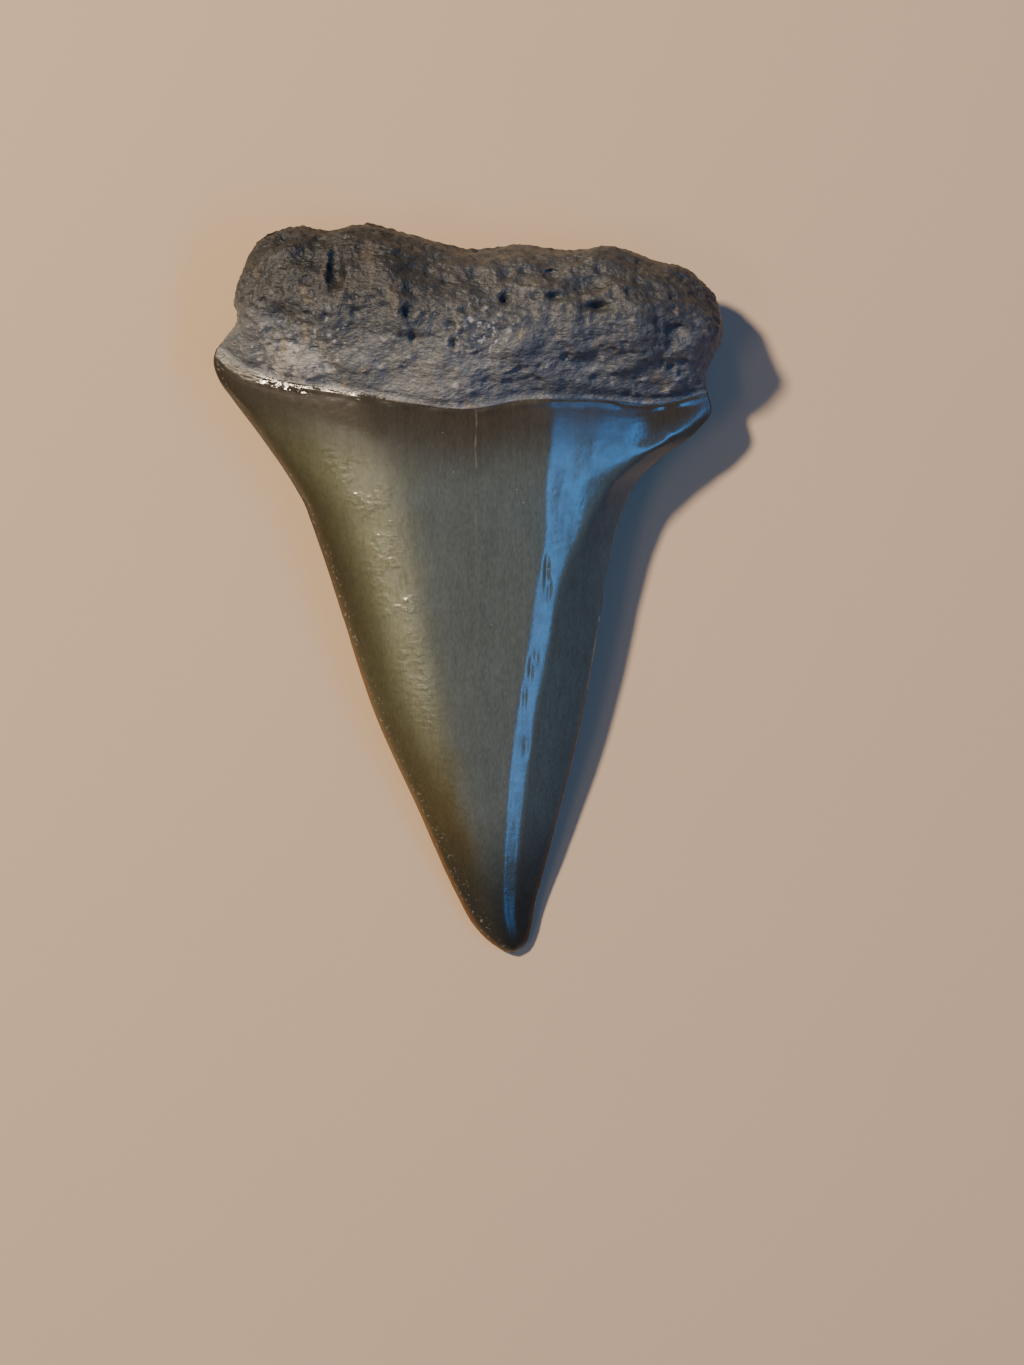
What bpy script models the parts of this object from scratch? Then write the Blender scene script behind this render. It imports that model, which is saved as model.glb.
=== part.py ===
# Fossil shark tooth, lying on its flatter face, as one faceted solid.
# The frame is metres with +Z up. +Y points from the tip to the root, +X to the right seen from above,
# and the origin is the middle of the tooth's box on the surface that it lies on.
# Every size below is a real size in millimetres.
import bpy
import bmesh
import numpy as np
from mathutils import Vector, noise

MM = 0.001

# Outline seen from above, from which the whole tooth is lofted.
ROOT_TOP = [
    (-18.1, 26.9), (-16.9, 28.6), (-14.0, 29.5), (-11.2, 29.2), (-8.4, 29.8), (-4.7, 28.8), (0.1, 27.7),
    (4.2, 28.0), (8.0, 27.6), (12.0, 27.8), (15.6, 26.5), (17.6, 26.1), (19.2, 24.8), (20.1, 23.9),
]
ROOT_LEFT = [(-18.1, 26.9), (-18.8, 25.0), (-19.3, 23.6), (-19.1, 21.7), (-19.9, 20.5), (-20.7, 19.5)]
ROOT_RIGHT = [(20.1, 23.9), (20.55, 22.3), (20.75, 20.7), (20.0, 18.8), (19.3, 17.1), (19.5, 15.8)]
CROWN_LEFT = [
    (-20.7, 19.5), (-20.9, 18.7), (-20.5, 17.1), (-19.4, 15.5), (-16.9, 12.1), (-13.8, 7.25), (-12.2, 3.2),
    (-9.9, -4.0), (-7.9, -10.0), (-4.1, -18.6), (-1.1, -25.4), (0.3, -27.9), (1.6, -29.25), (2.6, -29.9),
    (3.5, -30.2),
]
CROWN_RIGHT = [
    (19.5, 15.8), (19.8, 14.6), (18.5, 12.7), (16.2, 11.0), (13.5, 8.5), (12.1, 5.2), (11.2, 0.8),
    (10.2, -5.7), (8.7, -13.0), (6.8, -20.7), (5.3, -26.7), (5.0, -28.4), (4.45, -29.65), (3.5, -30.2),
]
# Where the enamel ends against the root, on the upper face and on the underside.
ENAMEL_UPPER = [
    (-20.7, 19.5), (-18.8, 17.9), (-16.2, 16.9), (-10.0, 15.7), (-4.0, 14.5), (0.0, 14.15), (4.0, 14.8),
    (10.0, 15.1), (15.0, 14.8), (19.5, 15.8),
]
ENAMEL_LOWER = [
    (-20.7, 19.5), (-15.0, 18.9), (-7.0, 18.3), (0.0, 18.0), (8.0, 17.7), (15.0, 16.9), (19.5, 15.8),
]

# Heights along the tooth: fraction from the root's top to the enamel line, then from there to the tip.
ROOT_RIM_Z = [(0.0, 5.9), (0.5, 5.6), (1.0, 5.1)]
ROOT_RISE = [
    (0.0, 0.0), (0.04, 2.1), (0.12, 3.9), (0.25, 5.5), (0.42, 6.6), (0.6, 6.7), (0.8, 5.5), (1.0, 3.95),
]
ROOT_DROP = [(0.0, 0.0), (0.05, 2.4), (0.15, 4.2), (0.3, 5.2), (0.6, 5.3), (0.85, 4.5), (1.0, 3.6)]
CROWN_RIM_Z = [(0.0, 5.1), (0.12, 4.9), (0.35, 4.2), (0.6, 3.1), (0.8, 1.8), (0.93, 0.95), (1.0, 0.65)]
CROWN_RISE = [
    (0.0, 3.95), (0.05, 4.05), (0.1, 4.05), (0.15, 3.98), (0.2, 3.87), (0.29, 3.6), (0.37, 3.45),
    (0.44, 3.3), (0.51, 3.12), (0.61, 2.78), (0.7, 2.4), (0.78, 2.0), (0.87, 1.5), (0.95, 0.9), (1.0, 0.0),
]
CROWN_DROP = [(0.0, 3.6), (0.2, 2.9), (0.45, 2.2), (0.7, 1.6), (0.88, 1.25), (0.96, 0.85), (1.0, 0.0)]

# The root's cross-section is 1 - |w|^p, raised to q, with w running from rim to rim.
ROOT_SECTION = (2.7, 0.5)
# The crown has a gently domed middle, a narrow facet on either side and steeper flanks. A facet runs from
# its ridge to its break, both given along the crown as shares of the half width. Each bend is how much
# steeper the surface gets there and softness is how softly, the ridge's given left and right. The upper
# face's right facet has further changes of slope near the root, where it is flatter over a strip and again
# on the shoulder: each step is a distance from the middle and the change, both along the crown, then the
# softness.
UPPER_SECTION = {
    "left_ridge": [
        (0.0, 0.36), (0.06, 0.37), (0.15, 0.32), (0.27, 0.36), (0.44, 0.38), (0.7, 0.3), (1.0, 0.2),
    ],
    "left_break": [
        (0.0, 0.62), (0.07, 0.64), (0.15, 0.57), (0.27, 0.53), (0.44, 0.51), (0.7, 0.42), (1.0, 0.35),
    ],
    "right_ridge": [
        (0.0, 0.37), (0.05, 0.375), (0.1, 0.405), (0.15, 0.455), (0.2, 0.505), (0.29, 0.548), (0.37, 0.5),
        (0.44, 0.468), (0.51, 0.418), (0.61, 0.345), (0.68, 0.295), (0.78, 0.233), (0.87, 0.17), (1.0, 0.1),
    ],
    "right_break": [
        (0.0, 0.985), (0.03, 0.965), (0.06, 0.925), (0.095, 0.855), (0.12, 0.825), (0.15, 0.825),
        (0.2, 0.83), (0.245, 0.8), (0.29, 0.75), (0.37, 0.665), (0.44, 0.635), (0.51, 0.587), (0.61, 0.533),
        (0.7, 0.5), (0.85, 0.46), (1.0, 0.45),
    ],
    "ridge_softness": (0.9, 0.13),
    "left_softness": [(0.0, 1.0), (1.0, 1.0)],
    "right_softness": [(0.0, 0.25), (0.12, 0.25), (0.2, 0.22), (0.28, 0.18), (0.4, 0.16), (1.0, 0.14)],
    "dome": 0.016,
    "ridge_bend": [(0.0, 0.27), (0.1, 0.27), (0.2, 0.258), (0.3, 0.25), (1.0, 0.26)],
    "left_bend": [(0.0, 0.1), (0.15, 0.25), (0.3, 0.35), (0.5, 0.36), (1.0, 0.36)],
    "right_bend": [
        (0.0, 0.3), (0.05, 0.28), (0.1, 0.26), (0.15, 0.32), (0.2, 0.37), (0.26, 0.37), (0.4, 0.37),
        (1.0, 0.37),
    ],
    "right_steps": [
        (
            [(0.0, 9.3), (1.0, 9.3)],
            [
                (0.0, -0.06), (0.1, -0.07), (0.16, -0.11), (0.2, -0.09), (0.25, -0.03), (0.3, 0.0),
                (0.4, 0.0), (1.0, 0.0),
            ],
            0.25,
        ),
        (
            [(0.0, 11.3), (0.06, 11.1), (0.11, 10.6), (0.16, 10.2), (0.2, 9.9), (0.3, 9.6), (1.0, 9.6)],
            [
                (0.0, 0.06), (0.1, 0.07), (0.16, 0.11), (0.2, 0.09), (0.25, 0.03), (0.3, 0.0),
                (0.4, 0.0), (1.0, 0.0),
            ],
            0.25,
        ),
        (
            [(0.0, 15.0), (0.05, 14.9), (0.1, 13.9), (0.15, 13.0), (1.0, 13.0)],
            [(0.0, -0.16), (0.05, -0.14), (0.09, -0.08), (0.13, -0.03), (0.17, 0.0), (0.3, 0.0), (1.0, 0.0)],
            0.4,
        ),
    ],
}
LOWER_SECTION = {
    "left_ridge": [(0.0, 0.45), (1.0, 0.3)],
    "left_break": [(0.0, 0.55), (1.0, 0.4)],
    "right_ridge": [(0.0, 0.45), (1.0, 0.3)],
    "right_break": [(0.0, 0.55), (1.0, 0.4)],
    "ridge_softness": (3.0, 3.0),
    "left_softness": [(0.0, 3.0), (1.0, 3.0)],
    "right_softness": [(0.0, 3.0), (1.0, 3.0)],
    "dome": 0.03,
    "ridge_bend": [(0.0, 0.1), (1.0, 0.1)],
    "left_bend": [(0.0, 0.1), (1.0, 0.1)],
    "right_bend": [(0.0, 0.1), (1.0, 0.1)],
    "right_steps": [],
}
# The bends get sharper where the half width comes down to this size.
SMALL_HALF_WIDTH = 2.5
LEAST_HALF_WIDTH = 0.001
SECTION_TURN = 1.7
RIM_FADE = 1.5

# Relief: size over the surface and height. Lip and groove: distance past the enamel line, width, height.
ROOT_LUMP = (4.2, 0.55)
ROOT_GRAIN = (1.7, 0.45)
ENAMEL_WAVE = (7.0, 0.07)
LIP = (0.5, 0.45, 0.16)
GROOVE = (-0.6, 0.5, 0.22)
# The root's roughness ends this far short of the enamel line, over this width, and calms down before it.
ROOT_EDGE = (-0.5, 0.35)
QUIET_BAND = 2.6
QUIET_SHARE = 0.35
GRAIN_STRETCH = 0.7
PORE_SCALE = 1.7
PORE_SHARE = 0.5
RIM_CALM = 1.6
RIM_LUMP_SHARE = 0.15
# The ends of the root are pressed down onto the surface that the tooth lies on.
LOBE_FLATS = [(-12.0, 22.4), (12.6, 21.6)]
LOBE_FLAT_RADIUS = 5.0
LOBE_FLAT_PRESS = 1.8

# Dents and swellings on the upper face: x, y, half width, half length, depth (negative swells).
UPPER_DENTS = [
    (-10.7, 25.2, 0.55, 1.6, 0.8),
    (9.8, 24.2, 1.2, 0.7, 0.9),
    (-12.8, 24.4, 0.6, 0.6, 0.4),
    (-4.8, 21.6, 0.6, 0.5, 0.7),
    (-1.4, 20.6, 0.6, 0.6, 0.7),
    (6.8, 24.9, 0.6, 0.5, 0.8),
    (3.0, 24.7, 0.6, 0.5, 0.7),
    (16.5, 20.4, 1.0, 0.7, 0.6),
    (-15.5, 21.5, 1.2, 0.7, 0.5),
    (0.4, 27.0, 3.2, 1.4, 0.7),
    (-5.3, 0.3, 0.35, 0.9, 0.15),
    (16.9, 11.9, 0.8, 0.5, 0.3),
]
UNDERSIDE_DENTS = [
    (0.3, 25.0, 3.0, 2.6, 1.1),
    (-2.0, 21.6, 0.7, 0.8, 1.2),
    (3.4, 22.4, 0.6, 0.7, 1.0),
    (-8.0, 24.2, 1.6, 1.0, 0.6),
    (9.5, 23.2, 1.4, 1.0, 0.6),
    (0.0, 14.5, 7.0, 2.4, 0.45),
]
# Nicks in the cutting edges: x, y, radius, depth.
EDGE_NICKS = [
    (-13.6, 6.8, 0.7, 0.35), (-10.1, -3.3, 0.7, 0.35), (11.2, 0.6, 0.8, 0.4), (-2.6, -22.0, 0.6, 0.2),
]

# Mesh density.
CELLS_ACROSS = 44
ROOT_ROWS = 20
CROWN_ROWS = 32
EDGE_CROWDING = 0.62
ROW_CROWDING = 0.52
WELD = 0.004

TOOTH_COLOUR = (0.075, 0.078, 0.062, 1.0)
TOOTH_ROUGHNESS = 0.38


def smooth_path(points, at):
    """Places at the fractions `at` of the length of a smooth curve through the points."""
    knots = np.asarray(points, dtype=float)
    gaps = np.linalg.norm(np.diff(knots, axis=0), axis=1)
    reach = np.concatenate([[0.0], np.cumsum(gaps)])
    tangents = np.gradient(knots, reach, axis=0)
    where = np.asarray(at) * reach[-1]
    span = np.clip(np.searchsorted(reach, where, side="right") - 1, 0, len(gaps) - 1)
    length = gaps[span][:, None]
    t = (where[:, None] - reach[span][:, None]) / length
    return (
        (2 * t**3 - 3 * t**2 + 1) * knots[span]
        + (t**3 - 2 * t**2 + t) * length * tangents[span]
        + (3 * t**2 - 2 * t**3) * knots[span + 1]
        + (t**3 - t**2) * length * tangents[span + 1]
    )


def profile(pairs, at):
    """Values of a smooth graph through (fraction, value) pairs."""
    xs, ys = np.asarray(pairs, dtype=float).T
    slopes = np.gradient(ys, xs)
    span = np.clip(np.searchsorted(xs, at, side="right") - 1, 0, len(xs) - 2)
    width = xs[span + 1] - xs[span]
    t = (at - xs[span]) / width
    return (
        (2 * t**3 - 3 * t**2 + 1) * ys[span]
        + (t**3 - 2 * t**2 + t) * width * slopes[span]
        + (3 * t**2 - 2 * t**3) * ys[span + 1]
        + (t**3 - t**2) * width * slopes[span + 1]
    )


def bow(points, across):
    """How far a line across the tooth leaves the straight chord between its ends."""
    line = smooth_path(points, across)
    return line - (line[0] + (line[-1] - line[0]) * across[:, None])


def rows_in_plan(left, right, first_bow, last_bow, along, across):
    """Rows between two side curves, bowed like the first line at one end and the last at the other."""
    start = smooth_path(left, along)[:, None, :]
    end = smooth_path(right, along)[:, None, :]
    u = across[None, :, None]
    s = along[:, None, None]
    return start + (end - start) * u + first_bow * (1 - s) + last_bow * s


def root_thickness(section, across):
    """Share of the full height over a root row, blunt at both ends."""
    power, root = section
    w = np.abs(2 * across - 1)
    return (1 - w**power) ** root


def bent(value, softness):
    """A straight line that sets in softly where the value is zero."""
    return softness * np.logaddexp(0, value / softness)


def crown_thickness(section, half_width, along, across):
    """Share of the full height over crown rows, one at the middle and zero at both rims."""
    half = half_width[:, None]
    reach = np.abs(2 * across - 1)[None, :] * half
    leftward = (across < 0.5)[None, :]

    def sided(name):
        left = profile(section["left_" + name], along)[:, None]
        right = profile(section["right_" + name], along)[:, None]
        return np.where(leftward, left, right)

    ridge = half * sided("ridge")
    edge = half * sided("break")
    bend = sided("bend")
    ridge_bend = profile(section["ridge_bend"], along)[:, None]
    small = half / (half + SMALL_HALF_WIDTH)
    ridge_softness = np.where(leftward, *section["ridge_softness"]) * small
    edge_softness = sided("softness") * small

    def fall(distance):
        inner = np.minimum(distance, ridge)
        drop = section["dome"] * inner * (distance - inner / 2)
        drop = drop + ridge_bend * bent(distance - ridge, ridge_softness)
        drop = drop + bend * bent(distance - edge, edge_softness)
        for place, change, softness in section["right_steps"]:
            step = bent(distance - profile(place, along)[:, None], softness)
            drop = drop + np.where(leftward, 0.0, profile(change, along)[:, None] * step)
        return drop

    top = fall(0 * reach)
    return 1 - (fall(reach) - top) / (fall(half + 0 * reach) - top)


def sheet(enamel_line, root_height, crown_height, section, side, across, root_along, crown_along):
    """One face of the tooth as rows of points, and how far each lies from the enamel line."""
    flat = np.zeros((len(across), 2))
    top_bow = bow(ROOT_TOP, across)
    line_bow = bow(enamel_line, across)
    root = rows_in_plan(ROOT_LEFT, ROOT_RIGHT, top_bow, line_bow, root_along, across)
    crown = rows_in_plan(CROWN_LEFT, CROWN_RIGHT, line_bow, flat, crown_along, across)
    half_width = 0.5 * np.linalg.norm(crown[:, -1] - crown[:, 0], axis=1)
    crown_share = crown_thickness(section, np.maximum(half_width, LEAST_HALF_WIDTH), crown_along, across)
    root_share = root_thickness(ROOT_SECTION, across)
    # The section changes from the root's to the crown's over the lower half of the root.
    turn = np.clip(2 * root_along[:, None] - 1, 0, 1) ** SECTION_TURN
    root_share = root_share[None, :] * (1 - turn) + crown_share[:1] * turn
    root_z = profile(ROOT_RIM_Z, root_along)[:, None]
    root_z = root_z + side * profile(root_height, root_along)[:, None] * root_share
    crown_z = profile(CROWN_RIM_Z, crown_along)[:, None]
    crown_z = crown_z + side * profile(crown_height, crown_along)[:, None] * crown_share
    root_run = np.linalg.norm(root[-1] - root[0], axis=1)
    crown_run = np.linalg.norm(crown[-1] - crown[0], axis=1)
    plan = np.concatenate([root, crown[1:]])
    height = np.concatenate([root_z, crown_z[1:]])
    distance = np.concatenate([
        (root_along[:, None] - 1) * root_run,
        crown_along[1:, None] * crown_run,
    ])
    rim = np.concatenate([profile(ROOT_RIM_Z, root_along), profile(CROWN_RIM_Z, crown_along)[1:]])
    depth = np.clip(np.abs(height - rim[:, None]) / RIM_FADE, 0, 1)
    return np.dstack([plan, height]), distance, depth


def bump(value, centre, width):
    """A rounded hump of height one."""
    return np.exp(-(((value - centre) / width) ** 2))


def press_dents(points, fade, dents, side):
    """Sinks each listed dent into one face, less and less towards the rim."""
    for x, y, half_width, half_length, depth in dents:
        spot = bump(points[..., 0], x, half_width) * bump(points[..., 1], y, half_length)
        points[..., 2] -= side * depth * spot * fade


def crowded(cells, crowding):
    """Fractions from 0 to 1 that lie closer together at both ends."""
    even = np.linspace(0, 1, cells + 1)
    return (1 - crowding) * even + crowding * (1 - np.cos(np.pi * even)) / 2


def tooth_mesh():
    """The whole tooth as one closed mesh, in millimetres."""
    across = crowded(CELLS_ACROSS, EDGE_CROWDING)
    root_along = crowded(ROOT_ROWS, ROW_CROWDING)
    crown_along = crowded(CROWN_ROWS, ROW_CROWDING)
    upper, upper_gap, upper_fade = sheet(
        ENAMEL_UPPER, ROOT_RISE, CROWN_RISE, UPPER_SECTION, 1, across, root_along, crown_along)
    lower, lower_gap, lower_fade = sheet(
        ENAMEL_LOWER, ROOT_DROP, CROWN_DROP, LOWER_SECTION, -1, across, root_along, crown_along)
    press_dents(upper, upper_fade, UPPER_DENTS, 1)
    press_dents(lower, lower_fade, UNDERSIDE_DENTS, -1)
    for x, y in LOBE_FLATS:
        reach = np.hypot(lower[..., 0] - x, lower[..., 1] - y) / LOBE_FLAT_RADIUS
        lower[..., 2] -= LOBE_FLAT_PRESS * np.exp(-(reach**4)) * lower_fade

    mesh = bmesh.new()
    gaps = {}
    faces = []
    for grid, gap, flip in ((upper, upper_gap, False), (lower, lower_gap, True)):
        verts = [[mesh.verts.new(point) for point in row] for row in grid]
        for row, values in zip(verts, gap):
            gaps.update(zip(row, values))
        for above, below in zip(verts, verts[1:]):
            for j in range(CELLS_ACROSS):
                corners = [above[j], below[j], below[j + 1], above[j + 1]]
                faces.append(corners[::-1] if flip else corners)
    for corners in faces:
        mesh.faces.new(corners)
    mesh.verts.index_update()
    order = [gaps[vert] for vert in mesh.verts]
    layer = mesh.verts.layers.float.new("enamel_gap")
    for vert, value in zip(mesh.verts, order):
        vert[layer] = value
    bmesh.ops.remove_doubles(mesh, verts=mesh.verts, dist=WELD)
    return mesh, layer


def roughen(mesh, layer):
    """Moves every point along its normal: rough root, smooth enamel, a lip where they meet."""
    mesh.normal_update()
    moves = []
    for vert in mesh.verts:
        gap = vert[layer]
        rooted = 1 / (1 + np.exp((gap - ROOT_EDGE[0]) / ROOT_EDGE[1]))
        here = vert.co
        stretched = Vector((here.x * GRAIN_STRETCH, here.y, here.z)) / ROOT_GRAIN[0]
        lump = noise.noise(here / ROOT_LUMP[0]) * ROOT_LUMP[1]
        pore = abs(noise.noise(stretched * PORE_SCALE)) * PORE_SHARE
        grain = (noise.noise(stretched) - pore) * ROOT_GRAIN[1]
        wave = noise.noise(here / ENAMEL_WAVE[0]) * ENAMEL_WAVE[1]
        # All relief calms down at the rim, whose outline already holds its own bays.
        facing = min(1.0, abs(vert.normal.z) * RIM_CALM)
        lump *= RIM_LUMP_SHARE + (1 - RIM_LUMP_SHARE) * facing
        grain *= RIM_LUMP_SHARE + (1 - RIM_LUMP_SHARE) * facing
        rooted *= QUIET_SHARE + (1 - QUIET_SHARE) * min(1.0, max(0.0, -gap / QUIET_BAND))
        seam = LIP[2] * bump(gap, LIP[0], LIP[1]) - GROOVE[2] * bump(gap, GROOVE[0], GROOVE[1])
        moves.append(rooted * (lump + grain) + (1 - rooted) * wave + seam * facing)
    for vert, move in zip(mesh.verts, moves):
        nick = sum(
            depth * np.exp(-(((vert.co.x - x) ** 2 + (vert.co.y - y) ** 2) / radius**2))
            for x, y, radius, depth in EDGE_NICKS
        )
        at_rim = 1 - min(1.0, abs(vert.normal.z) * RIM_CALM)
        vert.co += vert.normal * (move - nick * at_rim)


def settle(mesh):
    """Wears the touching spots flat at height zero and centres the tooth over the origin."""
    for vert in mesh.verts:
        vert.co.z = max(vert.co.z, 0.0)
    xs = [vert.co.x for vert in mesh.verts]
    ys = [vert.co.y for vert in mesh.verts]
    middle = Vector(((min(xs) + max(xs)) / 2, (min(ys) + max(ys)) / 2, 0.0))
    for vert in mesh.verts:
        vert.co = (vert.co - middle) * MM


def tooth_material():
    """Satin grey-green fossil enamel and root."""
    material = bpy.data.materials.new("tooth")
    material.use_nodes = True
    shader = material.node_tree.nodes["Principled BSDF"]
    shader.inputs["Base Color"].default_value = TOOTH_COLOUR
    shader.inputs["Roughness"].default_value = TOOTH_ROUGHNESS
    shader.inputs["Metallic"].default_value = 0.0
    material.diffuse_color = TOOTH_COLOUR
    return material


def make_tooth(collection):
    """Builds the tooth and puts it in the collection."""
    shape, layer = tooth_mesh()
    roughen(shape, layer)
    settle(shape)
    bmesh.ops.triangulate(shape, faces=shape.faces)
    shape.normal_update()
    data = bpy.data.meshes.new("tooth")
    shape.to_mesh(data)
    shape.free()
    data.materials.append(tooth_material())
    data.shade_smooth()
    tooth = bpy.data.objects.new("tooth", data)
    collection.objects.link(tooth)
    return tooth


for old in list(bpy.data.objects):
    bpy.data.objects.remove(old, do_unlink=True)
fossil = bpy.data.collections.new("fossil_shark_tooth")
bpy.context.scene.collection.children.link(fossil)
make_tooth(fossil)
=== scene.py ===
import bpy
import numpy as np
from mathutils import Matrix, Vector, noise


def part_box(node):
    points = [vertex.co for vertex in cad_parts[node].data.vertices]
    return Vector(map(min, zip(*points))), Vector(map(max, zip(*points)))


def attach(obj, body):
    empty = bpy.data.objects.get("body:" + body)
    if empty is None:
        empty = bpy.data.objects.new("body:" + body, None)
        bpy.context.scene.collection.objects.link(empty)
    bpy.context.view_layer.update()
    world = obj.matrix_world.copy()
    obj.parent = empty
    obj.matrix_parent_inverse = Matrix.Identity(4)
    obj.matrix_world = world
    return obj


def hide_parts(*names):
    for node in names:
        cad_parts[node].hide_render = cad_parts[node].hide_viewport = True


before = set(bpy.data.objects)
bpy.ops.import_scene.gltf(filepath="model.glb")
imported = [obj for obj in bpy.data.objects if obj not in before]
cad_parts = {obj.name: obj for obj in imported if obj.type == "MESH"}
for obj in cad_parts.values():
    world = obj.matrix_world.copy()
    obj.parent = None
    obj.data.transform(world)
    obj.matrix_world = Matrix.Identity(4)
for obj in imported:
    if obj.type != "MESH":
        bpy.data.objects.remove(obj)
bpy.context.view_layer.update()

mm = 0.001


# one socket of a node tree, so that node maths reads like ordinary maths
class Wire:
    def __init__(self, tree, socket):
        self.tree = tree
        self.socket = socket

    # makes a node: its type, its settings, then what its sockets get, by name or as in0, in1 and so on
    def node(self, kind, settings=None, out=0, **values):
        made = self.tree.nodes.new(kind)
        for name, value in (settings or {}).items():
            setattr(made, name, value)
        for name, value in values.items():
            socket = made.inputs[int(name[2:]) if name[:2] == "in" else name]
            if isinstance(value, Wire):
                self.tree.links.new(value.socket, socket)
            else:
                socket.default_value = value
        return Wire(self.tree, made.outputs[out])

    def operate(self, kind, operation, values, **more):
        numbered = {"in" + str(i): value for i, value in enumerate(values)}
        return self.node(kind, {"operation": operation}, **numbered, **more)

    def math(self, operation, *values):
        return self.operate("ShaderNodeMath", operation, values)

    def vector(self, operation, *values, **more):
        return self.operate("ShaderNodeVectorMath", operation, values, **more)

    def __add__(self, other):
        return self.math("ADD", self, other)

    def __sub__(self, other):
        return self.math("SUBTRACT", self, other)

    def __mul__(self, other):
        return self.math("MULTIPLY", self, other)

    def __truediv__(self, other):
        return self.math("DIVIDE", self, other)

    def __pow__(self, other):
        return self.math("POWER", self, other)

    def __neg__(self):
        return self.math("MULTIPLY", self, -1.0)

    def __rsub__(self, other):
        return self.math("SUBTRACT", other, self)

    def __rtruediv__(self, other):
        return self.math("DIVIDE", other, self)

    __radd__ = __add__
    __rmul__ = __mul__

    def larger(self, other):
        return self.math("MAXIMUM", self, other)

    # 0 below low, 1 above high, smooth between
    def ramp(self, low, high):
        settings = {"interpolation_type": "SMOOTHSTEP"}
        return self.node("ShaderNodeMapRange", settings, in0=self, in1=low, in2=high)

    # a rounded hump of height one round a value
    def hump(self, centre, width):
        return self.math("EXPONENT", -(((self - centre) / width) ** 2.0))

    # two colours mixed by this value: the first at 0, the second at 1
    def mix(self, first, second):
        first, second = ((*c, 1.0) if isinstance(c, tuple) else c for c in (first, second))
        settings = {"data_type": "RGBA", "clamp_factor": True}
        return self.node("ShaderNodeMix", settings, out=2, in0=self, in6=first, in7=second)

    # this colour made lighter or darker, and greyer below a saturation of 1
    def toned(self, value, saturation=1.0):
        return self.node("ShaderNodeHueSaturation", in1=saturation, in2=value, in4=self)

    def noise(self, size, detail=2.0, roughness=0.5, kind="FBM", out=0):
        settings = {"noise_type": kind, "noise_dimensions": "3D", "normalize": True}
        return self.node("ShaderNodeTexNoise", settings, out=out, Vector=self, Scale=1.0 / size,
                         Detail=detail, Roughness=roughness)

    def cells(self, size, out=0):
        return self.node("ShaderNodeTexVoronoi", {"feature": "F1"}, out=out, Vector=self, Scale=1.0 / size)

    def scaled(self, factor):
        return self.vector("SCALE", self, Scale=factor)

    def stretched(self, x, y, z):
        return self.vector("MULTIPLY", self, (x, y, z))

    # pushes a place about by a noise, so that patterns don't run straight
    def wandering(self, size, reach):
        push = self.vector("SUBTRACT", self.noise(size, out=1), (0.5, 0.5, 0.5))
        return self.vector("ADD", self, push.scaled(2.0 * reach))


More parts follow.
